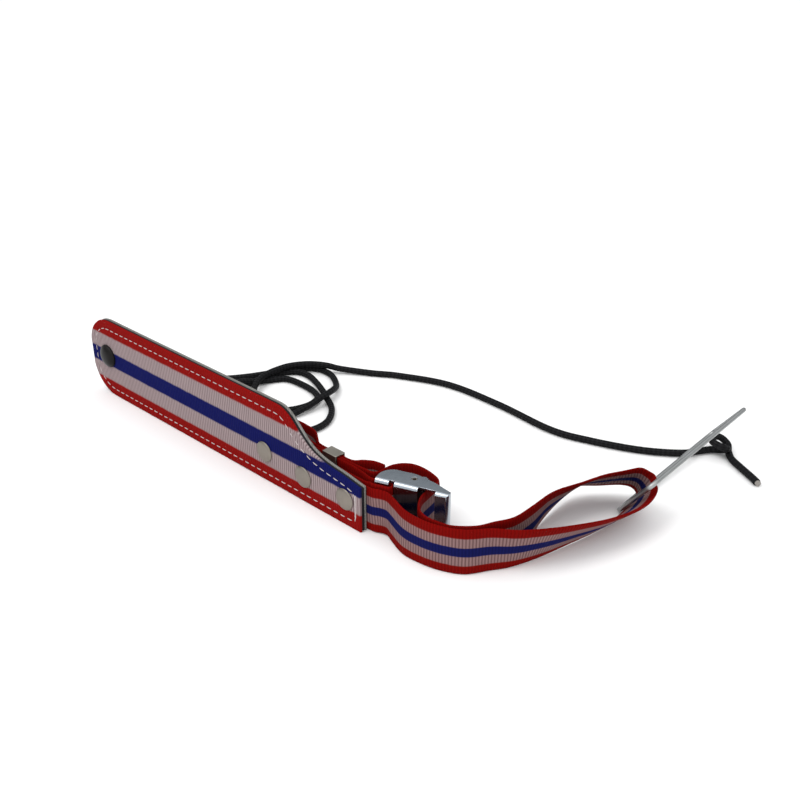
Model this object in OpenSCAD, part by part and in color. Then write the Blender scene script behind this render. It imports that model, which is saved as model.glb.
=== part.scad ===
// Adjustable webbing sling: padded striped cuff, 25 mm striped strap with a cam buckle,
// a plated keeper band, a steel link in the strap's loop and a braided shock cord.
// Millimetres, +Z up; everything stands on z = 0, origin under the middle of the hard parts.

/* [Cuff] */
// length of the padded cuff
cuff_len = 236.6; // [234:0.1:240]
// height of the cuff's wide end
cuff_h = 50; // [48:0.5:52]
// height of the cuff's narrow end
cuff_end_h = 25.5; // [24:0.5:27]
// corner radius at the wide end
cuff_r = 20; // [12:1:23]
// thickness of the striped webbing face
web_t = 1.6; // [1.2:0.1:1.6]

/* [Straps] */
// width of the strap webbing
strap_w = 25; // [22:0.5:25]
// thickness of the strap webbing
strap_t = 1.5; // [1.1:0.1:1.5]

/* [Fasteners] */
// diameter of the rivet caps
rivet_d = 12; // [9:0.5:13]
// diameter of the black domed cap
cap_d = 14.5; // [11:0.5:16]
// diameter of the rivet shanks
shank_d = 3.2; // [2.6:0.1:3.6]

/* [Buckle] */
// height of the buckle frame
buckle_h = 29; // [28.4:0.2:31]
// sheet thickness of the buckle frame
plate_t = 1.2; // [0.9:0.1:1.2]
// diameter of the cam pin
pin_d = 3; // [2.4:0.1:3.4]

/* [Link and cord] */
// wire diameter of the steel link
wire_d = 2.5; // [1.8:0.1:2.6]
// length of the link between its end bars
link_len = 98; // [90:1:100]
// diameter of the shock cord
cord_d = 4; // [3:0.1:4]

/* [Hidden] */
$fn = 48;
shift = [4.65, 10.6, 0];
cuff_at = [-95, -8.8, 0];
cuff_turn = -43.6;
cuff_left = -137.6;
buckle_at = [-16.4, -72.7, 0];
buckle_turn = -24.7;
core_t = 1.4;
lining_t = 1.5;
back_n = 4.5;
rivet_sz = [[27, 17.8], [57.4, 15], [88, 15.2]];
cap_sz = [-119.6, 26.6];
flange_d = 12;
cam_pin = [17.7, 8];
flat_end = 98;
red = [0.56, 0.12, 0.10];
steel = [0.62, 0.64, 0.65];
black = [0.08, 0.08, 0.08];

// plan point of the cuff's own (along, behind) position
function on_cuff(s, n) = [cuff_at[0] + s * cos(cuff_turn) - n * sin(cuff_turn),
  cuff_at[1] + s * sin(cuff_turn) + n * cos(cuff_turn)];
// plan point of the buckle's own (along, behind) position
function on_buckle(u, v) = [buckle_at[0] + u * cos(buckle_turn) - v * sin(buckle_turn),
  buckle_at[1] + u * sin(buckle_turn) + v * cos(buckle_turn)];
function add(p, z, b) = [p[0], p[1], z, b];
function unit(v) = v / norm(v);
function xyz(p) = [p[0], p[1], p[2]];

// smooth curve through the points of a route, k steps for each span
function spline_at(a, b, c, d, t) = 0.5 * (2 * b + (c - a) * t
  + (2 * a - 5 * b + 4 * c - d) * t * t + (3 * b - a - 3 * c + d) * t * t * t);
function smooth(r, k) = concat([for (i = [0 : len(r) - 2]) for (j = [0 : k - 1])
  spline_at(r[max(i - 1, 0)], r[i], r[i + 1], r[min(i + 2, len(r) - 1)], j / k)], [r[len(r) - 1]]);
function heading(c, i) = unit(xyz(c[min(i + 1, len(c) - 1)]) - xyz(c[max(i - 1, 0)]));

// four corners of a strap's section: +bank leans its top edge to the right of travel
function section(p, t, w, th) =
  let (n = unit([t[1], -t[0], 0]), u = cross(n, t), m = n * sin(p[3]) + u * cos(p[3]), f = cross(t, m))
  [xyz(p) + m * w / 2 + f * th / 2, xyz(p) + m * w / 2 - f * th / 2,
   xyz(p) - m * w / 2 - f * th / 2, xyz(p) - m * w / 2 + f * th / 2];

// closed skin over equal rings of points
module skin(rings) {
  m = len(rings[0]);
  n = len(rings);
  pts = [for (r = rings) for (p = r) p];
  sides = [for (i = [0 : n - 2]) for (j = [0 : m - 1]) let (a = i * m + j, b = i * m + (j + 1) % m)
    each [[a, b, a + m], [b, b + m, a + m]]];
  ends = [for (j = [1 : m - 2]) each [[0, j + 1, j], [(n - 1) * m, (n - 1) * m + j, (n - 1) * m + j + 1]]];
  polyhedron(pts, concat(sides, ends));
}

// strap along part of a smoothed route
module ribbon(c, from, to) {
  skin([for (i = [from : to]) section(c[i], heading(c, i), strap_w, strap_t)]);
}

// round cord along part of a smoothed route
module tube(c, from, to, d) {
  skin([for (i = [from : to]) let (t = heading(c, i), n = unit([t[1], -t[0], 0.0001]), u = cross(n, t))
    [for (k = [0 : 7]) xyz(c[i]) + (n * cos(k * 45) + u * sin(k * 45)) * d / 2]]);
}

// main strap from behind the cuff, out round the link, through the buckle and the keeper
main_route = [
  add(on_cuff(98.1, 5.25), 12.5, 0), add(on_cuff(101, 5.25), 12.6, 0), [-16.4, -76.1, 12.8, 0],
  [-13, -77.7, 13.1, 0], [-9.8, -80, 13.1, 0], [-7, -85.2, 12.8, -2], [-1.8, -94.8, 12.6, -2],
  [7, -103, 12.6, 0], [16, -108, 12.6, 0], [26, -110.5, 12.6, 0], [38, -108.5, 12.6, 4],
  [50.3, -107.2, 12.4, 14],
  [64.7, -101.9, 11.9, 24], [79.4, -94.2, 11.2, 34], [94, -85.3, 10.3, 41.5], [109.6, -73.1, 10, 46],
  [117.7, -62.3, 11.7, 36], [119.3, -57.4, 14.4, 4], [114.4, -52.6, 17, -36], [98.1, -52.3, 15.5, -46],
  [87.9, -54.9, 15, -50], [77.5, -63.3, 13.2, -35], [67.3, -74.3, 12.5, -19], [58.1, -89.4, 12.6, -5],
  [48.6, -99, 12.6, -5], [39, -103.6, 12.6, -2], [31, -107.2, 12.6, 0], [20, -107, 12.6, 0],
  [12.6, -103.8, 13, 0], [7.4, -99.8, 13.4, 0], [4.9, -93.5, 13.5, 0], add(on_buckle(25.2, -2), 13.6, 0),
  add(on_buckle(25.5, 5), 13.6, 0), add(on_buckle(26.2, 11), 13.6, 0), add(on_buckle(26.4, 17), 13.6, 0),
  [8.5, -58.4, 13.6, 0], [1, -53.4, 13.6, 0], [-7.5, -54.5, 13.6, 0], add(on_cuff(93.5, 16.4), 13.6, 0),
  add(on_cuff(86, 14.9), 13.6, 0), add(on_cuff(78, 14.55), 13.6, 0), add(on_cuff(64, 14.55), 13.6, 0),
  add(on_cuff(54, 14.55), 13.6, 0), add(on_cuff(46, 15.7), 13.6, 0), add(on_cuff(38, 18.2), 13.6, 0),
  add(on_cuff(24, 19.4), 13.6, 0), add(on_cuff(18.4, 22), 13.6, 0), add(on_cuff(23, 25), 13.6, 0),
  add(on_cuff(32, 25.4), 13.6, 0), add(on_cuff(41, 23.8), 13.6, 0), add(on_cuff(47.5, 19.4), 13.6, 0),
  add(on_cuff(52.6, 16.5), 13.6, 0), add(on_cuff(64, 16.3), 13.6, 0), add(on_cuff(76.4, 16.3), 13.6, 0),
  add(on_cuff(81, 20.4), 13.6, 0), add(on_cuff(85.8, 23.4), 13.6, 0), add(on_cuff(91.8, 24.4), 13.6, 0)];
main = smooth(main_route, 3);

// anchor strap: riveted to the cuff, round the buckle's bar and back through the keeper
anchor_route = [
  add(on_cuff(94.15, 6.75), 13.6, 0), add(on_cuff(96.4, 6.8), 13.6, 0), add(on_cuff(99.6, 7.3), 13.9, 0),
  add(on_buckle(0.6, -1), 14.3, 0), add(on_buckle(4.4, -1.1), 14.5, 0), add(on_buckle(8, -1.1), 14.5, 0),
  add(on_buckle(9.1, 0.6), 14.5, 0), add(on_buckle(8.3, 2.7), 14.5, 0), add(on_buckle(4.4, 2.9), 14.5, 0),
  add(on_buckle(0, 3.2), 14.3, 0), add(on_cuff(95.4, 10.2), 14.3, 0), add(on_cuff(88, 12.1), 13.6, 0),
  add(on_cuff(80, 12.9), 13.6, 0),
  add(on_cuff(64, 12.9), 13.6, 0), add(on_cuff(54, 12.6), 13.6, 0), add(on_cuff(46, 9.8), 13.6, 0),
  add(on_cuff(40, 7.3), 13.6, 0), add(on_cuff(36.4, 6.8), 13.6, 0), add(on_cuff(34, 6.75), 13.6, 0)];
anchor = smooth(anchor_route, 3);

// shock cord: from the cap's post, three turns on the ground, then the long run to the link
cord_route = [
  add(on_cuff(-119.6, 3.2), 26.6, 0), add(on_cuff(-119.6, 7.2), 26.6, 0), add(on_cuff(-119.6, 10), 26.2, 0),
  add(on_cuff(-119.4, 14.8), 23.3, 0), add(on_cuff(-119, 17), 17, 0), add(on_cuff(-118.5, 19.6), 7, 0),
  add(on_cuff(-117.5, 25), 2.4, 0),
  [-150, 95, 2.1, 0], [-134, 94, 2.1, 0], [-117, 92, 2.1, 0], [-101, 95, 2.1, 0], [-86, 100.5, 2.1, 0],
  [-70, 106.5, 2.1, 0], [-57, 106, 2.1, 0], [-48, 97, 2.1, 0], [-44, 82, 2.4, 0], [-45.5, 69, 5.4, 0],
  [-51, 59, 6.2, 0], [-60, 49.5, 4, 0], [-70, 42, 2.2, 0], [-82, 38, 2.1, 0], [-94, 41, 2.1, 0],
  [-103, 52, 2.1, 0], [-106, 68, 2.1, 0], [-100, 83, 2.1, 0], [-88, 95.5, 2.1, 0], [-74, 102, 2.2, 0],
  [-64, 98, 2.2, 0], [-56, 84.5, 2.1, 0], [-49.5, 67, 2.1, 0], [-45, 50, 2.1, 0], [-47, 34, 2.1, 0],
  [-56, 24, 2.1, 0], [-70, 20, 2.1, 0], [-86, 25, 2.1, 0], [-100, 36, 2.1, 0], [-109, 50, 2.1, 0],
  [-111, 64, 3, 0], [-106, 77, 6.2, 0], [-97, 84.5, 3.6, 0], [-86, 90, 2.1, 0], [-76, 91.5, 2.1, 0],
  [-66, 84, 2.1, 0], [-58, 74.5, 2.1, 0], [-54.5, 65, 2.2, 0], [-58.5, 56, 2.2, 0], [-68, 50, 2.1, 0],
  [-80, 48, 2.1, 0], [-90, 54, 2.1, 0], [-94, 66, 2.1, 0], [-94, 76, 5, 0], [-91, 85, 6.4, 0],
  [-84.5, 94, 6.5, 0], [-75, 102, 6.3, 0], [-63, 105, 6.2, 0], [-52, 103.5, 6, 0], [-42, 104, 3.2, 0],
  [-22, 100, 2.1, 0], [-4, 96, 2.1, 0], [27, 83, 2.1, 0], [56, 56, 2.1, 0], [83, 25, 2.1, 0],
  [104, 12, 2.1, 0], [130, 1.5, 2.1, 0], [152, -2, 2.1, 0], [163, 0.5, 2.1, 0], [170, 1.6, 2.4, 0]];
cord = smooth(cord_route, 1);
knot_route = [
  [170, 1.6, 2.4, 0], [175, -1, 3.5, 0], [176.4, -5, 6.5, 0], [172, -6.6, 9, 0], [168.6, -2.4, 9.8, 0],
  [170.6, 3.4, 9.4, 0], [175.6, 6, 7.6, 0], [179.4, 3.4, 4.6, 0], [178.6, -2, 2.8, 0], [178.6, -9, 2.1, 0],
  [181, -18, 2.1, 0], [184, -28, 2.1, 0], [185.2, -33, 2.1, 0]];
knot = smooth(knot_route, 2);

// cuff outline, along (x) and up (y), narrowing in an S to the right end
module cuff_outline() {
  difference() {
    union() {
      translate([cuff_r, 0]) square([cuff_len - cuff_r, cuff_h]);
      translate([0, cuff_r]) square([cuff_r + 1, cuff_h - 2 * cuff_r]);
      translate([cuff_r, cuff_r]) circle(cuff_r, $fn = 96);
      translate([cuff_r, cuff_h - cuff_r]) circle(cuff_r, $fn = 96);
    }
    polygon(concat([[cuff_len - 58, cuff_h + 1], [cuff_len - 58, cuff_h], [cuff_len - 50, cuff_h - 5],
      [cuff_len - 46, cuff_h - 9.5], [cuff_len - 41, cuff_h - 14], [cuff_len - 36, cuff_h - 17.5],
      [cuff_len - 28.5, cuff_h - 20], [cuff_len - 21, cuff_h - 21.3], [cuff_len - 14, cuff_h - 22]],
      [[cuff_len - 7, cuff_end_h + 1.2], [cuff_len, cuff_end_h], [cuff_len + 1, cuff_end_h],
      [cuff_len + 1, cuff_h + 1]]));
  }
}
// places flat work drawn in the cuff's own (along, up) plane between two depths behind its face
module cuff_sheet(n, t) {
  translate([cuff_left, n + t, 0]) rotate([90, 0, 0]) linear_extrude(t) children();
}
module cuff_frame() {
  translate(shift + cuff_at) rotate([0, 0, cuff_turn]) children();
}
module buckle_frame_at() {
  translate(shift + buckle_at) rotate([0, 0, buckle_turn]) children();
}
module fastener_holes() {
  for (p = rivet_sz)
    translate([p[0] - cuff_left, p[1]]) circle(d = shank_d);
  translate([cap_sz[0] - cuff_left, cap_sz[1]]) circle(d = 6);
}
module cuff_layer(n, t) {
  cuff_frame() cuff_sheet(n, t) difference() {
    cuff_outline();
    fastener_holes();
  }
}
module cuff_webbing() {
  color(red) cuff_layer(0, web_t);
}
module cuff_core() {
  color(black) cuff_layer(web_t, core_t + 1.6 - web_t);
}
module cuff_lining() {
  color([0.5, 0.49, 0.47]) cuff_layer(3, lining_t);
}

// one lockstitch: a dash of thread on the face and its fellow on the lining
module dash(s, z, tilt) {
  translate([s, 0, z]) rotate([0, -tilt, 0]) {
    translate([-1.5, -0.25, -0.4]) cube([3, 0.25, 0.8]);
    if (s < 10 || z > 28)
      translate([-1.5, back_n, -0.4]) cube([3, 0.25, 0.8]);
  }
}
module cuff_stitching() {
  color([0.75, 0.72, 0.70]) cuff_frame() {
    for (s = [-117 : 5 : 88])
      dash(s, 4.4, 0);
    for (s = [-117 : 5 : 38])
      dash(s, cuff_h - 5.4, 0);
    for (z = [17.5 : 5 : 32.5])
      dash(cuff_left + 5, z, 90);
    for (i = [0 : 4])
      dash(45 + i * 3.6, 42 - i * 3.2, -42);
    for (i = [0 : 5])
      dash(65.5 + i * 4.9, 26.4 - i * 1, -12);
    for (z = [8 : 5 : 18])
      dash(95.4, z, 90);
  }
}

module rivet_caps() {
  color(steel) cuff_frame() for (p = rivet_sz)
    translate([p[0], 0, p[1]]) rotate([90, 0, 0]) intersection() {
      translate([0, 0, 1.6 - 14]) sphere(14, $fn = 96);
      cylinder(d = rivet_d, h = 2);
    }
}
// shank through the cuff and both straps with a flat head behind
module rivet_post(n) {
  rotate([-90, 0, 0]) {
    cylinder(d = shank_d, h = n);
    translate([0, 0, n]) cylinder(d = 8.5, h = 0.8);
  }
}
module rivet_posts() {
  color(steel) cuff_frame() for (p = rivet_sz)
    translate([p[0], 0, p[1]]) rivet_post(7.5);
}
module stop_cap() {
  color(black) cuff_frame() translate([cap_sz[0], 0, cap_sz[1]]) rotate([90, 0, 0]) intersection() {
    translate([0, 0, 3.4 - 11]) sphere(11, $fn = 96);
    cylinder(d = cap_d, h = 4);
  }
}
module stop_post() {
  color(steel) cuff_frame() translate([cap_sz[0], 0, cap_sz[1]]) rotate([-90, 0, 0]) difference() {
    cylinder(d = 6, h = 6.6);
    translate([0, 0, 3.2]) cylinder(d = 4.2, h = 4);
  }
}
module stop_washer() {
  color(black) cuff_frame() translate([cap_sz[0], back_n, cap_sz[1]]) rotate([-90, 0, 0]) difference() {
    cylinder(d = 14, h = 1.2);
    translate([0, 0, -1]) cylinder(d = 6, h = 4);
  }
}

module strap_fixed_end() {
  color(red) cuff_frame() difference() {
    translate([14, back_n, 12.5 - strap_w / 2]) cube([flat_end - 14, strap_t, strap_w]);
    for (p = rivet_sz)
      translate([p[0], 0, p[1]]) rotate([-90, 0, 0]) cylinder(d = shank_d, h = 20);
  }
}
module main_part(from, to) {
  color(red) translate(shift) ribbon(main, from, to);
}
module strap_front_leg() {
  main_part(0, 30);
}
module strap_loop_end() {
  main_part(30, 69);
}
module strap_rear_leg() {
  main_part(69, 81);
}
module strap_threaded() {
  main_part(81, 120);
}
module strap_tail_front() {
  main_part(120, 129);
}
module strap_tail_fold() {
  main_part(129, 150);
}
module strap_tail_end() {
  main_part(150, len(main) - 1);
}
module anchor_riveted() {
  color(red) cuff_frame() difference() {
    union() {
      translate([44, 6, 13.6 - strap_w / 2]) cube([50, strap_t, strap_w]);
      translate([16, 6, 13.6 - strap_w / 2]) cube([18, strap_t, strap_w]);
    }
    for (p = rivet_sz)
      translate([p[0], 0, p[1]]) rotate([-90, 0, 0]) cylinder(d = shank_d, h = 20);
  }
}
module anchor_bar_loop() {
  color(red) translate(shift) ribbon(anchor, 0, 33);
}
module anchor_return() {
  color(red) translate(shift) ribbon(anchor, 33, len(anchor) - 1);
}

// side profile of the buckle, along (x) and behind (y): rounded ends, flanges falling to the right
module buckle_profile() {
  difference() {
    union() {
      translate([7.5, 0]) square([31, flange_d]);
      square([8, 4.5]);
      translate([7.5, 4.5]) circle(7.5, $fn = 96);
    }
    polygon([[17, flange_d], [29, 8.4], [35.5, 5.2], [39, 3.6], [40, 3.6], [40, 14], [17, 14]]);
    difference() {
      translate([36.5, -1]) square([3, 3]);
      translate([36.5, 2]) circle(2, $fn = 64);
    }
  }
}
// channel section, behind (x) and up (y), with rounded bends
module channel(inset, r) {
  translate([inset + r, inset]) square([14, buckle_h - 2 * inset]);
  translate([inset, inset + r]) square([14, buckle_h - 2 * inset - 2 * r]);
  translate([inset + r, inset + r]) circle(r, $fn = 64);
  translate([inset + r, buckle_h - inset - r]) circle(r, $fn = 64);
}
module buckle_frame() {
  color(steel) buckle_frame_at() difference() {
    intersection() {
      rotate([90, 0, 90]) linear_extrude(38.5) channel(0, 2);
      linear_extrude(buckle_h) buckle_profile();
    }
    difference() {
      translate([-1, 0, 0]) rotate([90, 0, 90]) linear_extrude(38.1) channel(plate_t, 0.8);
      translate([37.1, -1, -1]) cube([2, 10, buckle_h + 2]);
    }
    translate([7.3, -1, -1]) cube([2.9, 3, buckle_h + 2]);
    translate([22.6, -1, -1]) cube([9, 3, buckle_h + 2]);
    translate([cam_pin[0], cam_pin[1], -1]) cylinder(d = pin_d, h = buckle_h + 2);
  }
}
// cam profile about its pin: hub, toothed nose on the strap side, thumb tab on the other
module cam_profile() {
  difference() {
    union() {
      circle(4);
      for (a = [18 : 11 : 62])
        rotate(a) translate([0, -1]) polygon([[0, -0.6], [6.6, -0.3], [7.6, 1], [6.6, 2.3], [0, 2.6]]);
      rotate(150) translate([0, -0.4]) square([12.4, 1.6]);
      rotate(150) translate([12.4, 0.4]) circle(1.2);
    }
    circle(d = pin_d + 0.1);
  }
}
module cam_lever() {
  color(steel) buckle_frame_at() translate([cam_pin[0], cam_pin[1], 0]) difference() {
    translate([0, 0, 2]) linear_extrude(buckle_h - 4) cam_profile();
    translate([-3.4, -5, 12]) cube([6.8, 7.6, 6]);
    translate([0, 0, 12]) cylinder(d = 7.6, h = 6);
  }
}
module cam_pin() {
  color(steel) buckle_frame_at() translate([cam_pin[0], cam_pin[1], 0.3]) difference() {
    cylinder(d = pin_d, h = buckle_h - 0.6);
    translate([0, 0, buckle_h - 2.6]) cylinder(d = 1.8, h = 4);
  }
}
// torsion spring: three turns round the pin inside the cam, one leg down to the frame
module cam_spring() {
  color(steel) buckle_frame_at() translate([cam_pin[0], cam_pin[1], 0]) {
    for (z = [12.8, 14.4, 16])
      translate([0, 0, z]) difference() {
        cylinder(d = 6, h = 1);
        translate([0, 0, -1]) cylinder(d = pin_d + 0.6, h = 4);
      }
    translate([1.9, plate_t - cam_pin[1], 12.8]) cube([1, cam_pin[1] - plate_t, 1]);
  }
}
module keeper_band() {
  color(steel) cuff_frame() difference() {
    translate([60, 11.2, 0.1]) cube([10, 6.7, 27]);
    translate([59, 11.9, 0.8]) cube([12, 5.3, 25.6]);
  }
}

// link: a long wire loop, end bar inside the strap's loop, far end resting on the cord
link_at = [105.8, -60.6, 1.9];
link_x = unit([0.677, 0.736, 0.05]);
link_side = [0.446, -0.411, 0.797];
link_y = unit(link_side - (link_side * link_x) * link_x);
link_z = cross(link_x, link_y);
link_turn = [atan2(link_y[2], link_z[2]), -asin(link_x[2]), atan2(link_x[1], link_x[0])];
link_w = 29.5;
bend = 4;
module bar(at, turn, len) {
  translate(at) rotate(turn) cylinder(d = wire_d, h = len, $fn = 48);
}
module steel_link() {
  color(steel) translate(shift + link_at) rotate(link_turn) {
    bar([bend, 0, 0], [0, 90, 0], link_len - 2 * bend);
    bar([bend, link_w, 0], [0, 90, 0], link_len - 2 * bend);
    bar([0, bend, 0], [-90, 0, 0], link_w - 2 * bend);
    bar([link_len, bend, 0], [-90, 0, 0], link_w - 2 * bend);
    for (c = [[bend, bend, 180], [link_len - bend, bend, 270], [link_len - bend, link_w - bend, 0],
        [bend, link_w - bend, 90]])
      translate([c[0], c[1], 0]) rotate([0, 0, c[2]]) rotate_extrude(angle = 90)
        translate([bend, 0]) circle(d = wire_d, $fn = 48);
  }
}

module shock_cord() {
  color(black) translate(shift) tube(cord, 0, len(cord) - 1, cord_d);
}
module cord_knot() {
  color(black) translate(shift) tube(knot, 0, len(knot) - 1, cord_d);
}
module cord_core_end() {
  color([0.6, 0.58, 0.55]) translate(shift + [185.25, -33.2, 2]) rotate([0, 0, -76.5]) rotate([0, 90, 0])
    cylinder(d = 3, h = 1.2);
}

cuff_webbing();
cuff_core();
cuff_lining();
cuff_stitching();
rivet_caps();
rivet_posts();
stop_cap();
stop_post();
stop_washer();
strap_fixed_end();
strap_front_leg();
strap_loop_end();
strap_rear_leg();
strap_threaded();
strap_tail_front();
strap_tail_fold();
strap_tail_end();
anchor_riveted();
anchor_bar_loop();
anchor_return();
buckle_frame();
cam_lever();
cam_pin();
cam_spring();
keeper_band();
steel_link();
shock_cord();
cord_knot();
cord_core_end();
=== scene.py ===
import math

import bmesh
import bpy
import numpy as np
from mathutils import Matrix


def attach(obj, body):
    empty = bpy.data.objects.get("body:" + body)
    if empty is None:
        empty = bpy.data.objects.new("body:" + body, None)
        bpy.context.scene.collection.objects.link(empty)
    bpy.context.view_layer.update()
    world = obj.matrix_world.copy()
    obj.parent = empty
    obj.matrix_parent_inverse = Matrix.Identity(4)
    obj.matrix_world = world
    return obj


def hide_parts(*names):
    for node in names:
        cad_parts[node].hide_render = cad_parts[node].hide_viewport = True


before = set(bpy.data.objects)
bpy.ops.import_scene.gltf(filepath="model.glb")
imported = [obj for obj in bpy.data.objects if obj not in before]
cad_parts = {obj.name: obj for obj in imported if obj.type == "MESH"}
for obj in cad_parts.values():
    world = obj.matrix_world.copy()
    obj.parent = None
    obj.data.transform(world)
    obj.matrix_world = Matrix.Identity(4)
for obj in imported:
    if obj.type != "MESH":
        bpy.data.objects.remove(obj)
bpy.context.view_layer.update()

# ---------------------------------------------------------------- camera
# A tabletop view from the front and above, with a slightly long lens. Sizes
# are in millimetres until MM turns them into the scene's metres.
MM = 0.001
SHIFT = np.array([4.65, 10.6, 0.0])
TURN = 2 * math.pi
camera = bpy.data.objects.new("camera", bpy.data.cameras.new("camera"))
camera.data.lens = 47.03
camera.data.sensor_width = 36.0
camera.data.clip_start = 0.01
camera.location = (0.65 * MM, -494.4 * MM, 295.0 * MM)
CAMERA_DIP = 27.31
camera.rotation_euler = (math.radians(90 - CAMERA_DIP), 0, 0)
bpy.context.scene.collection.objects.link(camera)
bpy.context.scene.camera = camera
bpy.context.scene.view_settings.view_transform = "Standard"


# ---------------------------------------------------------------- shock cord
# A 4 mm shock cord: rubber strands in a black braided cover. It leaves the
# hollow post behind the black cap, lies in three loose turns and runs out to
# the wire link.
def on_line(x, y, degrees, s, n):
    """Plan point s along and n to the left of a line that leaves (x, y) at an angle from +X:
    x + s cos - n sin, y + s sin + n cos. s and n may be arrays."""
    a = math.radians(degrees)
    return (x + s * math.cos(a) - n * math.sin(a), y + s * math.sin(a) + n * math.cos(a))


def on_cuff(s, n):
    """Plan point at distance s along the cuff and n behind its striped face."""
    return on_line(-95, -8.8, -43.6, s, n)


def on_buckle(u, v):
    """Plan point at distance u along the buckle's plate and v behind it."""
    return on_line(-16.4, -72.7, -24.7, u, v)


def smooth(route, k):
    """Catmull-Rom curve through the rows of route, k steps to each span."""
    p = np.asarray(route, float)
    p = np.vstack([p[:1], p, p[-1:]])
    a, b, c, d = p[:-3, None], p[1:-2, None], p[2:-1, None], p[3:, None]
    t = (np.arange(k) / k)[None, :, None]
    q = 0.5 * (2 * b + (c - a) * t + (2 * a - 5 * b + 4 * c - d) * t**2 + (3 * b - a - 3 * c + d) * t**3)
    return np.vstack([q.reshape(-1, p.shape[1]), p[-1:]])


def even(curve, step):
    """The same curve at equal steps of its length; also gives the length so far at each point."""
    d = np.linalg.norm(np.diff(curve[:, :3], axis=0), axis=1)
    s = np.concatenate([[0], np.cumsum(d)])
    n = max(int(round(s[-1] / step)), 2)
    at = np.linspace(0, s[-1], n + 1)
    return np.stack([np.interp(at, s, curve[:, i]) for i in range(curve.shape[1])], 1), at


def travel(p, closed=False):
    """Unit direction of travel at each point of a curve."""
    t = np.roll(p, -1, 0) - np.roll(p, 1, 0) if closed else np.gradient(p, axis=0)
    return t / np.linalg.norm(t, axis=1, keepdims=True)


def mesh_piece(name, points, faces, uv=None):
    """A mesh object at the origin from points in millimetres, with a UV for each point if given."""
    mesh = bpy.data.meshes.new(name)
    mesh.from_pydata((np.asarray(points) * MM).tolist(), [], [list(map(int, f)) for f in faces])
    if uv is not None:
        loops = np.empty(len(mesh.loops), int)
        mesh.loops.foreach_get("vertex_index", loops)
        mesh.uv_layers.new(name="UVMap").data.foreach_set("uv", np.asarray(uv, float)[loops].ravel())
    mesh.polygons.foreach_set("use_smooth", [True] * len(mesh.polygons))
    mesh.update()
    piece = bpy.data.objects.new(name, mesh)
    bpy.context.scene.collection.objects.link(piece)
    return piece


def ring_faces(rows, around, closed=False):
    """Quads between following rings, with a cap at each end unless the last ring joins the first."""
    i, j = np.meshgrid(np.arange(rows - (not closed)), np.arange(around), indexing="ij")
    k, n = (j + 1) % around, (i + 1) % rows
    quads = np.stack([i * around + j, n * around + j, n * around + k, i * around + k], -1).reshape(-1, 4)
    caps = [] if closed else [list(range(around)), list(range((rows - 1) * around, rows * around))[::-1]]
    return list(quads) + caps


def outward(piece):
    """Turns all faces of a closed mesh outwards."""
    b = bmesh.new()
    b.from_mesh(piece.data)
    bmesh.ops.recalc_face_normals(b, faces=b.faces)
    b.to_mesh(piece.data)
    b.free()
    return piece


def round_tube(name, path, diameter, around=16, closed=False):
    """A circle carried along a path, its UV around it and along it in metres."""
    t = travel(path, closed)
    n = np.cross(t, [0.01, 0.02, 1.0])
    n /= np.linalg.norm(n, axis=1, keepdims=True)
    u = np.cross(n, t)
    a = np.arange(around) * TURN / around
    ring = n[:, None] * np.cos(a)[None, :, None] + u[:, None] * np.sin(a)[None, :, None]
    points = path[:, None] + ring * (diameter / 2)
    along = np.concatenate([[0], np.cumsum(np.linalg.norm(np.diff(path, axis=0), axis=1))])
    uv = np.stack(np.broadcast_arrays(a[None, :] / TURN, along[:, None] * MM), -1)
    faces = ring_faces(len(path), around, closed)
    return outward(mesh_piece(name, points.reshape(-1, 3), faces, uv.reshape(-1, 2)))


def flat3(points):
    """Rows of x, y, z from rows whose first item may be a plan point."""
    return [tuple(p[0]) + tuple(p[1:]) if isinstance(p[0], tuple) else tuple(p) for p in points]


CORD_COVER = 3.9
cord_route = flat3([
    (on_cuff(-119.6, 3.2), 26.6), (on_cuff(-119.6, 7.2), 26.6), (on_cuff(-119.6, 10), 26.2),
    (on_cuff(-119.4, 14.8), 23.3), (on_cuff(-119, 17), 17), (on_cuff(-118.5, 19.6), 7),
    (on_cuff(-117.5, 25), 2.4),
    (-150, 95, 2.1), (-134, 94, 2.1), (-117, 92, 2.1), (-101, 95, 2.1), (-86, 100.5, 2.1),
    (-70, 106.5, 2.1), (-57, 106, 2.1), (-48, 97, 2.1), (-44, 82, 2.4), (-45.5, 69, 5.4), (-51, 59, 6.2),
    (-60, 49.5, 4), (-70, 42, 2.2), (-82, 38, 2.1), (-94, 41, 2.1), (-103, 52, 2.1), (-106, 68, 2.1),
    (-100, 83, 2.1), (-88, 95.5, 2.1), (-74, 102, 2.2), (-64, 98, 2.2), (-56, 84.5, 2.1), (-49.5, 67, 2.1),
    (-45, 50, 2.1), (-47, 34, 2.1), (-56, 24, 2.1), (-70, 20, 2.1), (-86, 25, 2.1), (-100, 36, 2.1),
    (-109, 50, 2.1), (-111, 64, 3), (-106, 77, 6.2), (-97, 84.5, 3.6), (-86, 90, 2.1), (-76, 91.5, 2.1),
    (-66, 84, 2.1), (-58, 74.5, 2.1), (-54.5, 65, 2.2), (-58.5, 56, 2.2), (-68, 50, 2.1), (-80, 48, 2.1),
    (-90, 54, 2.1), (-94, 66, 2.1), (-94, 76, 5), (-91, 85, 6.4), (-84.5, 94, 6.5), (-75, 102, 6.3),
    (-63, 105, 6.2), (-52, 103.5, 6), (-42, 104, 3.2), (-22, 100, 2.1), (-4, 96, 2.1), (27, 83, 2.1),
    (56, 56, 2.1), (83, 25, 2.1), (104, 12, 2.1), (130, 1.5, 2.1), (152, -2, 2.1), (163, 0.5, 2.1),
    (170, 1.6, 2.4)])
cord_path, cord_at = even(smooth(cord_route, 12), 1.0)
cord_path = cord_path + SHIFT
cord = round_tube("shock_cord_cover", cord_path, CORD_COVER)

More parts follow.
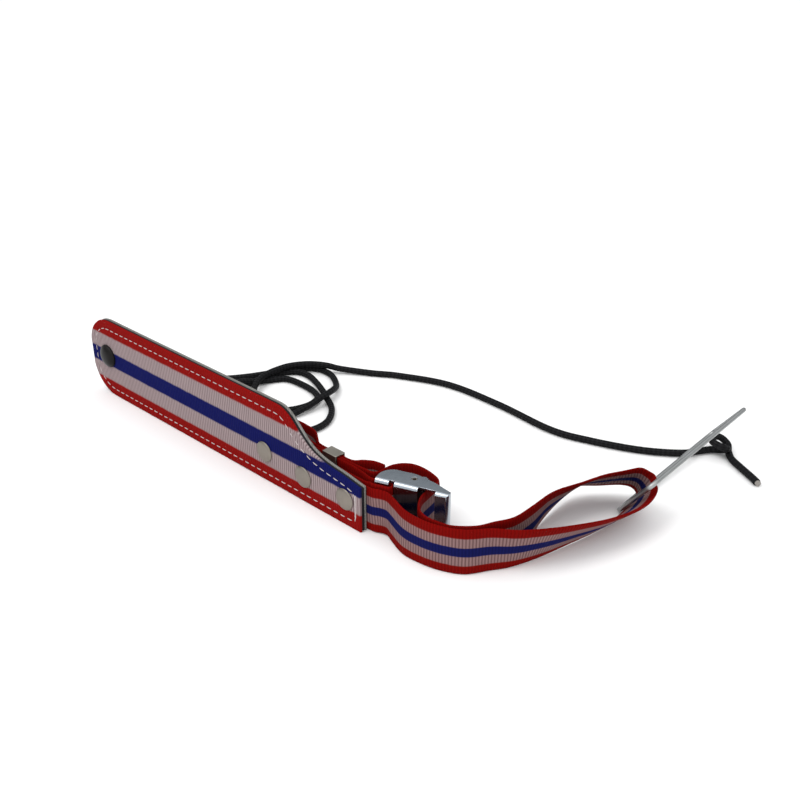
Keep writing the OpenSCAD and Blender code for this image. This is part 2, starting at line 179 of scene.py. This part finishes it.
# The cord's end is tied in one overhand knot that lies beside the link's far
# end, and its short tail shows the cut rubber strands.
knot_route = [
    (170, 1.6, 2.4), (175, -1, 3.5), (176.4, -5, 6.5), (172, -6.6, 9), (168.6, -2.4, 9.8), (170.6, 3.4, 9.4),
    (175.6, 6, 7.6), (179.4, 3.4, 4.6), (178.6, -2, 2.8), (178.6, -9, 2.1), (181, -18, 2.1), (184, -28, 2.1),
    (185.2, -33, 2.1)]
knot_path, _ = even(smooth(knot_route, 12), 0.8)
knot_path = knot_path + SHIFT
knot = round_tube("cord_knot_cover", knot_path, CORD_COVER)
core_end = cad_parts["cord_core_end"]
for piece in (cord, knot):
    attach(piece, "sling")
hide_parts("shock_cord")
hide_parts("cord_knot")


class Value:
    """A socket in a material's nodes. + - and * with it add Math nodes."""

    def __init__(self, tree, socket):
        self.tree, self.socket = tree, socket

    def math(self, operation, a, b=0.0):
        return self.tree.node("ShaderNodeMath", {"operation": operation}, {0: a, 1: b})[0]

    def __add__(self, b):
        return self.math("ADD", self, b)

    __radd__ = __add__

    def __sub__(self, b):
        return self.math("SUBTRACT", self, b)

    def __rsub__(self, b):
        return self.math("SUBTRACT", b, self)

    def __mul__(self, b):
        return self.math("MULTIPLY", self, b)

    def sine(self):
        return self.math("SINE", self)

    def power(self, b):
        return self.math("POWER", self, b)

    def clamp(self):
        return self.math("MINIMUM", self.math("MAXIMUM", self, 0.0), 1.0)


class Finish:
    """A material and the one method that adds any node to it."""

    def __init__(self, name, **constants):
        self.material = bpy.data.materials.new(name)
        self.material.use_nodes = True
        self.nodes = self.material.node_tree.nodes
        self.shader = self.nodes["Principled BSDF"]
        for key, value in constants.items():
            self.shader.inputs[key.replace("_", " ")].default_value = value

    def node(self, kind, settings=(), inputs=()):
        """Adds a node: its settings first, then the value or link of each input; gives its outputs."""
        n = self.nodes.new(kind)
        for key, value in dict(settings).items():
            if key == "stops":
                ramp = n.color_ramp.elements
                while len(ramp) < len(value):
                    ramp.new(1.0)
                for stop, (at, colour) in zip(ramp, value):
                    stop.position, stop.color = at, tuple(colour) + (1.0,)
            else:
                setattr(n, key, value)
        for key, value in dict(inputs).items():
            if isinstance(value, Value):
                self.material.node_tree.links.new(value.socket, n.inputs[key])
            else:
                n.inputs[key].default_value = value
        return [Value(self, s) for s in n.outputs]

    def mix(self, factor, a, b, blend="MIX"):
        """Colour a to colour b by factor."""
        settings = {"data_type": "RGBA", "blend_type": blend}
        return self.node("ShaderNodeMix", settings, {0: factor, 6: a, 7: b})[2]

    def feed(self, name, value):
        self.material.node_tree.links.new(value.socket, self.shader.inputs[name])

    def bump(self, height, distance, strength=1.0):
        inputs = {"Strength": strength, "Distance": distance, "Height": height}
        self.feed("Normal", self.node("ShaderNodeBump", {}, inputs)[0])

    def uv(self):
        """The piece's own UV, as two values: across and along."""
        uv_map = self.node("ShaderNodeUVMap", {"uv_map": "UVMap"})[0]
        out = self.node("ShaderNodeSeparateXYZ", {}, {0: uv_map})
        return out[0], out[1]

    def noise(self, scale, detail=2.0, rough=0.5, stretch=(1, 1, 1)):
        """Noise over Object coordinates, in metres."""
        at = self.node("ShaderNodeMapping", {}, {0: self.node("ShaderNodeTexCoord")[3], "Scale": stretch})[0]
        inputs = {"Vector": at, "Scale": scale, "Detail": detail, "Roughness": rough}
        return self.node("ShaderNodeTexNoise", {}, inputs)[0]

    def give(self, *pieces):
        for piece in pieces:
            piece.data.materials.clear()
            piece.data.materials.append(self.material)


def braid_finish():
    """Two crossing spirals of yarn round the cord: the product of two slanted waves, in dark greys, with
    shade painted darker in the low gaps between yarns.
    """
    f = Finish("black_braid", Roughness=0.62, Specular_IOR_Level=0.12)
    around, along = f.uv()
    lay, yarns = 0.0052, 4
    left = (along * (TURN / lay) + around * (TURN * yarns)).sine()
    right = (along * (TURN / lay) - around * (TURN * yarns)).sine()
    yarn = (left * right * 0.5 + 0.5).clamp()
    fleck = f.noise(900, 3.0)
    # painted shade: darker where the yarn wave is low, in the gaps between yarns; fleck adds random tone
    f.feed("Base Color", f.mix((yarn * 0.8 + fleck * 0.3 - 0.1).clamp(),
                               (0.0015, 0.0015, 0.0018, 1), (0.012, 0.012, 0.014, 1)))
    f.feed("Roughness", 0.75 - yarn * 0.25)
    f.bump(yarn, 0.00035, 0.9)
    return f


braid_finish().give(cord, knot)
strands = Finish("rubber_strands", Roughness=0.7)
strands.feed("Base Color", strands.mix(strands.noise(2600, 2.0),
                                       (0.12, 0.11, 0.10, 1), (0.42, 0.39, 0.36, 1)))
strands.bump(strands.noise(2600, 2.0), 0.0002)
strands.give(core_end)


# ---------------------------------------------------------------- main strap
# One length of 25 mm webbing, woven in five stripes with close cross ribs.
# One end is riveted behind the cuff, the rest runs out round the link, back
# through the buckle, and its tail is doubled through the keeper band.
def stripes(f, across, narrow):
    """Red, white, blue, white, red across the width, with edges a yarn wide."""
    red, white, blue = (0.265, 0.006, 0.005), (0.39, 0.312, 0.315), (0.0075, 0.010, 0.100)
    if narrow:
        red, white, blue = (0.200, 0.003, 0.002), (0.29, 0.178, 0.173), (0.0080, 0.010, 0.085)
    e = 0.010
    stops = [(0, red), (0.2 - e, red), (0.2 + e, white), (0.4 - e, white), (0.4 + e, blue),
             (0.6 - e, blue), (0.6 + e, white), (0.8 - e, white), (0.8 + e, red), (1, red)]
    return f.node("ShaderNodeValToRGB", {"stops": stops}, {0: across})[0]


def webbing_finish(name, width, pitch, narrow):
    """Stripes by the width; ribs are a wave along the length, sharpened into grooves where shade is painted
    into the colour, strongest on the white yarns; fine warp yarns are a close wave across the width."""
    f = Finish(name, Roughness=0.82, Specular_IOR_Level=0.03)
    across, along = f.uv()
    wander = f.noise(260, 2.0) - 0.5
    rib = (along * (TURN / pitch) + wander * 0.9).sine() * 0.5 + 0.5
    groove = (1 - rib).power(2.2)
    warp_pitch = 0.00042
    yarn = (across * (TURN * width / warp_pitch)).sine() * 0.5 + 0.5
    place = across + wander * 0.012
    colour = stripes(f, place, narrow)
    no, yes = (0, 0, 0), (1, 1, 1)
    white_bands = [(0, no), (0.19, no), (0.21, yes), (0.39, yes), (0.41, no),
                   (0.59, no), (0.61, yes), (0.79, yes), (0.81, no), (1, no)]
    is_white = f.node("ShaderNodeValToRGB", {"stops": white_bands}, {0: place})[0]
    # painted shade: the colour darkens in the rib grooves, most on the white stripes
    depth = groove * (is_white * 0.45 + 0.35)
    shade = f.mix(depth, (1, 1, 1, 1), (0.32, 0.26, 0.27, 1))
    colour = f.mix(1.0, colour, shade, "MULTIPLY")
    blotch = f.noise(70, 3.0)
    colour = f.mix(blotch * 0.3, colour, f.mix(1.0, colour, (0.72, 0.70, 0.72, 1), "MULTIPLY"))
    fuzz = f.noise(4200, 2.0, 0.6)
    shaded = f.mix(1.0, colour, (0.55, 0.52, 0.55, 1), "MULTIPLY")
    colour = f.mix(fuzz * 0.22 + yarn * 0.08, colour, shaded)
    f.feed("Base Color", colour)
    f.feed("Roughness", 0.76 + fuzz * 0.16)
    f.bump(rib * 0.8 + yarn * 0.14 + fuzz * 0.18, 0.00032, 0.9)
    return f


def ribbon(name, route, width, thickness, step=0.8):
    """A flat strap: at each point of its route the section is a thin rounded bar whose upright edge
    leans by the bank angle; thickness falls to nothing at the two woven edges."""
    p, along = even(smooth(route, 12), step)
    bank = np.radians(p[:, 3])[:, None]
    p = p[:, :3]
    t = travel(p)
    n = np.stack([t[:, 1], -t[:, 0], 0 * t[:, 0]], 1)
    n /= np.linalg.norm(n, axis=1, keepdims=True)
    up = np.cross(n, t)
    edge = n * np.sin(bank) + up * np.cos(bank)
    face = np.cross(t, edge)
    x = np.sin(np.linspace(-math.pi / 2, math.pi / 2, 17))
    h = (1 - np.abs(x) ** 10) ** 0.5
    x, h = np.concatenate([x, x[-2:0:-1]]), np.concatenate([h, -h[-2:0:-1]])
    points = (p[:, None] + edge[:, None] * (x * width / 2)[None, :, None]
              + face[:, None] * (h * thickness / 2)[None, :, None])
    uv = np.stack(np.broadcast_arrays((x * 0.5 + 0.5)[None, :], along[:, None] * MM), -1)
    piece = mesh_piece(name, points.reshape(-1, 3) + SHIFT, ring_faces(len(p), len(x)), uv.reshape(-1, 2))
    return outward(piece), float(along[-1]) * MM


def banked(points):
    """Rows of x, y, z, bank from rows whose first item may be a plan point."""
    return [r if len(r) == 4 else r + (0.0,) for r in flat3(points)]


main_route = banked([
    (on_cuff(14, 5.25), 12.5), (on_cuff(42, 5.25), 12.5), (on_cuff(70, 5.25), 12.5),
    (on_cuff(92, 5.25), 12.5), (on_cuff(98.1, 5.25), 12.5), (on_cuff(101, 5.25), 12.6),
    (-16.4, -76.1, 12.8, 0), (-13, -77.7, 13.1, 0), (-9.8, -80, 13.1, 0), (-7, -85.2, 12.8, -2),
    (-1.8, -94.8, 12.6, -2), (7, -103, 12.6, 0), (16, -108, 12.6, 0), (26, -110.5, 12.6, 0),
    (38, -108.5, 12.6, 4), (50.3, -107.2, 12.4, 14), (64.7, -101.9, 11.9, 24), (79.4, -94.2, 11.2, 34),
    (94, -85.3, 10.3, 41.5), (109.6, -73.1, 10, 46), (117.7, -62.3, 11.7, 36), (119.3, -57.4, 14.4, 4),
    (114.4, -52.6, 17, -36), (98.1, -52.3, 15.5, -46), (87.9, -54.9, 15, -50), (77.5, -63.3, 13.2, -35),
    (67.3, -74.3, 12.5, -19), (58.1, -89.4, 12.6, -5), (48.6, -99, 12.6, -5), (39, -103.6, 12.6, -2),
    (31, -107.2, 12.6, 0), (20, -107, 12.6, 0), (12.6, -103.8, 13, 0), (7.4, -99.8, 13.4, 0),
    (4.9, -93.5, 13.5, 0), (on_buckle(25.2, -2), 13.6), (on_buckle(25.5, 5), 13.6),
    (on_buckle(26.2, 11), 13.6), (on_buckle(26.4, 17), 13.6), (8.5, -58.4, 13.6, 0),
    (1, -53.4, 13.6, 0), (-7.5, -54.5, 13.6, 0), (on_cuff(93.5, 16.4), 13.6), (on_cuff(86, 14.9), 13.6),
    (on_cuff(78, 14.55), 13.6), (on_cuff(64, 14.55), 13.6), (on_cuff(54, 14.55), 13.6),
    (on_cuff(46, 15.7), 13.6), (on_cuff(38, 18.2), 13.6), (on_cuff(24, 19.4), 13.6),
    (on_cuff(18.4, 22), 13.6), (on_cuff(23, 25), 13.6), (on_cuff(32, 25.4), 13.6),
    (on_cuff(41, 23.8), 13.6), (on_cuff(47.5, 19.4), 13.6), (on_cuff(52.6, 16.5), 13.6),
    (on_cuff(64, 16.3), 13.6), (on_cuff(76.4, 16.3), 13.6), (on_cuff(81, 20.4), 13.6),
    (on_cuff(85.8, 23.4), 13.6), (on_cuff(91.8, 24.4), 13.6)])
STRAP_WIDTH, STRAP_THICK = 25, 1.5
main_strap, main_length = ribbon("main_strap_webbing", main_route, STRAP_WIDTH, STRAP_THICK)
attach(main_strap, "sling")
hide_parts("strap_fixed_end", "strap_front_leg", "strap_loop_end", "strap_rear_leg",
            "strap_threaded", "strap_tail_front", "strap_tail_fold", "strap_tail_end")
narrow = webbing_finish("webbing_25", 0.025, 0.00155, True)
narrow.give(main_strap)

# ---------------------------------------------------------------- anchor strap
# A short piece of the same webbing, riveted behind the cuff, folded round the
# buckle's end bar and brought back through the keeper to the first rivet.
anchor_route = banked([
    (on_cuff(44, 6.75), 13.6), (on_cuff(66, 6.75), 13.6), (on_cuff(84, 6.75), 13.6),
    (on_cuff(94.15, 6.75), 13.6), (on_cuff(96.4, 6.8), 13.6), (on_cuff(99.6, 7.3), 13.9),
    (on_buckle(0.6, -1), 14.3), (on_buckle(4.4, -1.1), 14.5), (on_buckle(8, -1.1), 14.5),
    (on_buckle(9.1, 0.6), 14.5), (on_buckle(8.3, 2.7), 14.5), (on_buckle(4.4, 2.9), 14.5),
    (on_buckle(0, 3.2), 14.3), (on_cuff(95.4, 10.2), 14.3), (on_cuff(88, 12.1), 13.6),
    (on_cuff(80, 12.9), 13.6), (on_cuff(64, 12.9), 13.6), (on_cuff(54, 12.6), 13.6),
    (on_cuff(46, 9.8), 13.6), (on_cuff(40, 7.3), 13.6), (on_cuff(36.4, 6.8), 13.6),
    (on_cuff(34, 6.75), 13.6), (on_cuff(26, 6.75), 13.6), (on_cuff(16, 6.75), 13.6)])
anchor_strap, anchor_length = ribbon("anchor_strap_webbing", anchor_route, STRAP_WIDTH, STRAP_THICK)
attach(anchor_strap, "sling")
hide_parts("anchor_riveted", "anchor_bar_loop", "anchor_return")
narrow.give(anchor_strap)


# ---------------------------------------------------------------- cuff
# Three sewn layers: 50 mm striped webbing on the face, a dark stiffening felt
# and a grey woven lining. The right end is cut down in an S to strap height.
CUFF_LEFT, CUFF_LENGTH, CUFF_HEIGHT, CORNER = -137.6, 236.6, 50.0, 20.0


def cuff_edges(x, inset=0.0):
    """Height of the cuff's bottom and top edge at distance x from its wide end: quarter circles at the
    wide end's corners, level, then the S-shaped cut."""
    r = CORNER - inset
    bulge = np.where(x < CORNER, np.sqrt(np.clip(r**2 - (CORNER - x) ** 2, 0, None)), r)
    top = CUFF_HEIGHT - CORNER + bulge
    cut_x = [0, 178, 182, 187, 191, 196, 201, 208.5, 216, 223, 230, 236.6, 240]
    cut_z = [50, 50, 48.6, 45, 40.5, 36, 32.5, 30, 28.7, 28, 26.7, 25.5, 25.3]
    fine = np.linspace(0, 240, 481)
    cut = np.convolve(np.pad(np.interp(fine, cut_x, cut_z), 6, mode="edge"), np.ones(13) / 13, "valid")
    return CORNER - bulge, np.minimum(top, np.interp(x, fine, cut) - inset)


def cuff_layer(name, front, back, inset, dip):
    """A closed slab: rings across its height, carried along its length. Each ring is a rounded bar, and
    the face sinks by dip in a narrow valley along the line of stitches inside the edge."""
    a = np.linspace(0, math.pi / 2, 40)
    x = np.concatenate([inset + (CORNER - inset) * (1 - np.cos(a)),
                        np.arange(CORNER + 0.9, CUFF_LENGTH - inset, 0.9), [CUFF_LENGTH - inset]])
    low, high = cuff_edges(x, inset)
    k = np.sin(np.linspace(-math.pi / 2, math.pi / 2, 61)) * 0.5 + 0.5
    k = 0.45 * k + 0.55 * np.linspace(0, 1, 61)
    z = low[:, None] + (high - low)[:, None] * k
    near = np.minimum(np.minimum(z - low[:, None], high[:, None] - z),
                      np.minimum(x, CUFF_LENGTH - x)[:, None])
    seam_in = 5.2
    valley = np.exp(-(((near - seam_in) / 0.9) ** 2)) + 0.25 * np.exp(-(((near - seam_in) / 3.2) ** 2))
    edge = np.clip(near / 0.5, 0, 1)
    soft = np.sqrt(1 - (1 - edge) ** 2)
    mid, half = (front + back) / 2, (back - front) / 2
    n_front = mid - half * soft + dip * valley * soft
    n_back = mid + half * soft - dip * valley * soft
    ring_z = np.concatenate([z, z[:, -2:0:-1]], 1)
    ring_n = np.concatenate([n_front, n_back[:, -2:0:-1]], 1)
    s = (x + CUFF_LEFT)[:, None] + 0 * ring_z
    uv = np.stack([ring_z / CUFF_HEIGHT, s * MM], -1)
    points = np.stack([*on_cuff(s, ring_n), ring_z], -1).reshape(-1, 3) + SHIFT
    return outward(mesh_piece(name, points, ring_faces(len(x), ring_z.shape[1]), uv.reshape(-1, 2)))


cuff_face = cuff_layer("cuff_face_webbing", 0.0, 1.65, 0.0, 0.28)
cuff_felt = cuff_layer("cuff_core_felt", 1.55, 3.05, 0.35, 0.1)
cuff_back = cuff_layer("cuff_lining_cloth", 2.95, 4.5, 0.05, 0.2)
for piece, node, slot in ((cuff_face, "cuff_webbing", "webbing_wide"), (cuff_felt, "cuff_core", "core"),
                          (cuff_back, "cuff_lining", "lining")):
    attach(piece, "sling")
    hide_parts(node)
webbing_finish("webbing_50", 0.050, 0.0016, False).give(cuff_face)
felt = Finish("stiffening_felt", Roughness=0.95, Specular_IOR_Level=0.1)
felt.feed("Base Color", felt.mix(felt.noise(1500, 3.0), (0.006, 0.006, 0.007, 1), (0.03, 0.03, 0.032, 1)))
felt.bump(felt.noise(2200, 3.0), 0.0004)
felt.give(cuff_felt)
lining = Finish("lining_twill", Roughness=0.88, Specular_IOR_Level=0.15)
across, along = lining.uv()
TWILL_PITCH = 0.0009
twill = (across * (TURN * 0.05 / TWILL_PITCH) + along * (TURN / TWILL_PITCH)).sine() * 0.5 + 0.5
lining.feed("Base Color", lining.mix((twill * 0.6 + lining.noise(500, 3.0) * 0.5).clamp(),
                                     (0.10, 0.098, 0.09, 1), (0.27, 0.265, 0.25, 1)))
lining.bump(twill, 0.0002, 0.8)
lining.give(cuff_back)

# The layers are sewn together with white thread a little in from the edge, and
# a dense upright bar of stitches holds the narrow end.
q = np.linspace(0, math.pi / 2, 10)
seam = np.vstack([
    [(231, 4.4), (20, 4.6)],
    np.stack([20 - 15 * np.sin(q), 20 - 15.2 * np.cos(q)], 1),
    np.stack([20 - 15 * np.cos(q), 30 + 14.6 * np.sin(q)], 1),
    [(100, 44.6), (175, 44.6), (179, 43.9), (182.5, 41.4), (187, 36.6), (191, 33.2), (196, 29.9), (202, 27),
     (209, 25.2), (217, 23.9), (225, 22.8), (231, 21.4), (232.6, 19)]])
seam, _ = even(seam, 2.5)
turn = np.degrees(np.arctan2(*travel(seam).T[::-1]))
STITCH = 3.5
sewn = np.stack([seam[:, 0] + CUFF_LEFT, seam[:, 1], turn, 0 * turn + STITCH], 1)[1::2]
tack = np.array([(95.1 + 0.35 * (i % 2), 6.5 + i * 1.15, 84.0, 3.4) for i in range(12)])
dash = np.vstack([sewn, tack])


def stitch_thread(name, rows, side):
    """A stretched half-round bead for each stitch: an ellipse-shaped grid, flat on the cloth, raised in
    the middle, its ends drawn down into the needle holes."""
    th = np.linspace(0, TURN, 9)[:-1]
    v = np.linspace(-1, 1, 7)
    w = np.sqrt(1 - 0.999 * v**2) ** 0.6
    lx = (v[:, None] + 0 * th) * 0.5
    lz = w[:, None] * np.cos(th) * 0.28
    ln = w[:, None] * np.sin(th) * 0.24 + 0.10 * (1 - v[:, None] ** 2) - 0.10
    local = np.stack([lx, lz, ln], -1).reshape(-1, 3)
    c, s = np.cos(np.radians(rows[:, 2]))[:, None], np.sin(np.radians(rows[:, 2]))[:, None]
    x = local[None, :, 0] * rows[:, 3:4]
    z = local[None, :, 1] + 0 * x
    along_cuff = rows[:, 0:1] + x * c - z * s
    height = rows[:, 1:2] + x * s + z * c
    depth = (0.13 - local[None, :, 2] if side < 0 else 4.38 + local[None, :, 2]) + 0 * x
    points = np.stack([*on_cuff(along_cuff, depth), height], -1).reshape(-1, 3) + SHIFT
    faces = [[i + k * len(local) for i in f] for k in range(len(rows)) for f in ring_faces(7, 8)]
    return outward(mesh_piece(name, points, faces))


thread_front = stitch_thread("stitching_front", dash, -1)
thread_back = stitch_thread("stitching_back", dash[(dash[:, 0] < 10) | (dash[:, 1] > 27.5)], 1)
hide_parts("cuff_stitching")
thread = Finish("white_thread", Roughness=0.6)
thread.feed("Base Color", thread.mix(thread.noise(1800, 2.0), (0.36, 0.31, 0.31, 1), (0.60, 0.54, 0.53, 1)))
thread.bump(thread.noise(3500, 2.0), 0.0001)
for piece in (thread_front, thread_back):
    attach(piece, "sling")
thread.give(thread_front, thread_back)


# ---------------------------------------------------------------- rivets and black cap
# Nickel-plated tubular rivets with low domed caps hold the straps; a black
# snap cap covers the hollow post that takes the cord's end.
def turned(name, profile, centres, around=48):
    """A profile of (radius, depth in front of the face) turned about each centre on the cuff's face."""
    r, h = np.array(profile, float).T
    a = np.arange(around) * TURN / around
    points, faces = [], []
    for s, z in centres:
        along_cuff = s + r[:, None] * np.cos(a)
        depth = -h[:, None] + 0 * along_cuff
        px, py = on_cuff(along_cuff, depth)
        first = len(points) * len(r) * around
        points.append(np.stack([px, py, z + r[:, None] * np.sin(a)], -1).reshape(-1, 3) + SHIFT)
        faces += [[i + first for i in f] for f in ring_faces(len(r), around)]
    return outward(mesh_piece(name, np.vstack(points), faces))


rivet_profile = [(5.2, 0.0), (5.8, 0.05), (6.0, 0.3), (5.9, 0.55), (5.6, 0.8), (5.0, 1.05),
                 (4.0, 1.3), (2.8, 1.48), (1.5, 1.57), (0.4, 1.6)]
cap_profile = [(6.3, 0.0), (7.0, 0.05), (7.25, 0.4), (7.2, 0.9), (6.9, 1.4), (6.2, 2.0), (5.1, 2.6),
               (3.7, 3.05), (2.0, 3.32), (0.5, 3.4)]
rivets = turned("rivet_caps_plated", rivet_profile, [(27, 17.8), (57.4, 15), (88, 15.2)])
cap = turned("black_cap", cap_profile, [(-119.6, 26.6)])
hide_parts("rivet_caps")
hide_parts("stop_cap")
for piece in (rivets, cap):
    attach(piece, "sling")


def plated_finish(name, colour, rough, scratch):
    """Metal with cloudy roughness and faint scratches that cut across it."""
    f = Finish(name, Metallic=1.0, Roughness=rough)
    cloud = f.noise(120, 4.0, 0.6)
    line = f.noise(700, 3.0, 0.6, (1, 1, 0.12))
    dark = tuple(c * 0.72 for c in colour) + (1.0,)
    f.feed("Base Color", f.mix(cloud, dark, colour + (1.0,)))
    f.feed("Roughness", (rough - 0.06 + cloud * 0.14 + line * scratch).clamp())
    f.bump(line * 0.7 + cloud * 0.3, 0.00006, 0.5)
    return f


nickel = plated_finish("dulled_nickel", (0.29, 0.26, 0.225), 0.36, 0.16)
nickel.give(rivets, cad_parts["rivet_posts"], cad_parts["stop_post"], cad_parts["cam_pin"],
            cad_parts["cam_spring"])
enamel = Finish("black_enamel", Roughness=0.3, Specular_IOR_Level=0.1)
enamel.feed("Base Color", enamel.mix(enamel.noise(300, 3.0),
                                     (0.004, 0.004, 0.004, 1), (0.016, 0.014, 0.014, 1)))
enamel.feed("Roughness", 0.24 + enamel.noise(500, 3.0) * 0.2)
enamel.give(cap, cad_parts["stop_washer"])


# ---------------------------------------------------------------- buckle
# A cam buckle pressed from polished steel sheet: a slotted base with two side
# flanges bent back, and a toothed cam lever on a pin between them.
def softened(name, node, body, width, segments=3):
    """A copy of a CAD solid, made one skin: edges sharper than 40 degrees are rounded by width, and
    its curves are shaded smooth."""
    sharp = math.radians(40)
    b = bmesh.new()
    b.from_mesh(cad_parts[node].data)
    bmesh.ops.remove_doubles(b, verts=b.verts, dist=1e-6)
    bmesh.ops.dissolve_limit(b, angle_limit=math.radians(0.5), verts=b.verts, edges=b.edges)
    mesh = bpy.data.meshes.new(name)
    b.to_mesh(mesh)
    b.free()
    mesh.polygons.foreach_set("use_smooth", [True] * len(mesh.polygons))
    mesh.set_sharp_from_angle(angle=sharp)
    piece = bpy.data.objects.new(name, mesh)
    bpy.context.scene.collection.objects.link(piece)
    bevel = piece.modifiers.new("bevel", "BEVEL")
    bevel.width, bevel.segments = width * MM, segments
    bevel.limit_method, bevel.angle_limit = "ANGLE", sharp
    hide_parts(node)
    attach(piece, body)
    return piece


buckle = softened("buckle_plate", "buckle_frame", "sling", 0.16)
cam = softened("cam_lever_steel", "cam_lever", "cam", 0.2)
polished = plated_finish("polished_steel", (0.46, 0.51, 0.56), 0.15, 0.10)
polished.give(buckle, cam)

# ---------------------------------------------------------------- keeper band
# A flat plated band bent round the three plies of strap and free to slide.
keeper = softened("keeper_plated", "keeper_band", "keeper", 0.34, 4)
plated_finish("keeper_nickel", (0.42, 0.39, 0.34), 0.3, 0.2).give(keeper)

# ---------------------------------------------------------------- wire link
# A long link of 2.5 mm drawn wire, its ends bent round and butt welded.
link_x = np.array([0.677, 0.736, 0.05])
link_x /= np.linalg.norm(link_x)
link_y = np.array([0.446, -0.411, 0.797])
link_y -= (link_y @ link_x) * link_x
link_y /= np.linalg.norm(link_y)
link_start = np.array([105.8, -60.6, 1.9]) + SHIFT


def link_outline(length, width, radius, step=0.9):
    """A rectangle with rounded corners in the link's own plane, as points at even steps."""
    q = np.linspace(0, math.pi / 2, 9)
    corners = [(radius, radius, math.pi), (length - radius, radius, 1.5 * math.pi),
               (length - radius, width - radius, 0.0), (radius, width - radius, 0.5 * math.pi)]
    flat = np.vstack([np.stack([cx + radius * np.cos(a0 + q), cy + radius * np.sin(a0 + q)], 1)
                      for cx, cy, a0 in corners])
    flat = np.vstack([flat, flat[:1]])
    return even(flat, step)[0][:-1]


outline = link_outline(98.0, 29.5, 4.0)
link_path = link_start + outline[:, :1] * link_x + outline[:, 1:2] * link_y
link = round_tube("wire_link", link_path, 2.5, 20, closed=True)
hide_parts("steel_link")
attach(link, "link")
plated_finish("drawn_wire", (0.42, 0.43, 0.43), 0.3, 0.18).give(link)

# ---------------------------------------------------------------- floor and light
# A plain pale table, a studio sky and one soft light.
REACH, TABLE_Z = 12000, -0.05
table = [(x * REACH, y * REACH, TABLE_Z) for x, y in ((-1, -1), (1, -1), (1, 1), (-1, 1))]
mesh_piece("floor", table, [[0, 1, 2, 3]])
floor = Finish("pale_floor", Roughness=0.9)
floor.shader.inputs["Base Color"].default_value = (0.93, 0.93, 0.93, 1)
floor.shader.inputs["Specular IOR Level"].default_value = 0.1
floor.give(bpy.data.objects["floor"])
world = bpy.context.scene.world or bpy.data.worlds.new("world")
bpy.context.scene.world = world
world.use_nodes = True


class Sky(Finish):
    """The same node method, for the world's nodes."""

    def __init__(self, world):
        self.material, self.nodes = world, world.node_tree.nodes
        self.shader = self.nodes["Background"]


# The studio is white overhead and in front, and dimmer low down behind and at
# the sides, so that polished steel shows both bright edges and grey faces.
sky = Sky(world)
_, ahead, height = sky.node("ShaderNodeSeparateXYZ", {}, {0: sky.node("ShaderNodeTexCoord")[0]})
bright = (height * 2.0 - 0.35 - ahead * 0.75).clamp()
sky.feed("Color", sky.mix(bright, (0.20, 0.21, 0.22, 1), (1, 1, 1, 1)))
sky.shader.inputs["Strength"].default_value = 1.35


def soft_light(name, place, aim, size, power):
    """A square area light at a place, turned to face a point."""
    lamp = bpy.data.objects.new(name, bpy.data.lights.new(name, "AREA"))
    lamp.data.size, lamp.data.energy = size, power
    lamp.location = place
    d = np.array(aim) - np.array(place)
    tilt, heading = math.atan2(math.hypot(d[0], d[1]), -d[2]), math.atan2(d[1], d[0])
    lamp.rotation_euler = (tilt, 0, heading - math.pi / 2)
    bpy.context.scene.collection.objects.link(lamp)


soft_light("key_light", (-0.5, -0.3, 1.1), (0, 0, 0), 0.5, 4.0)
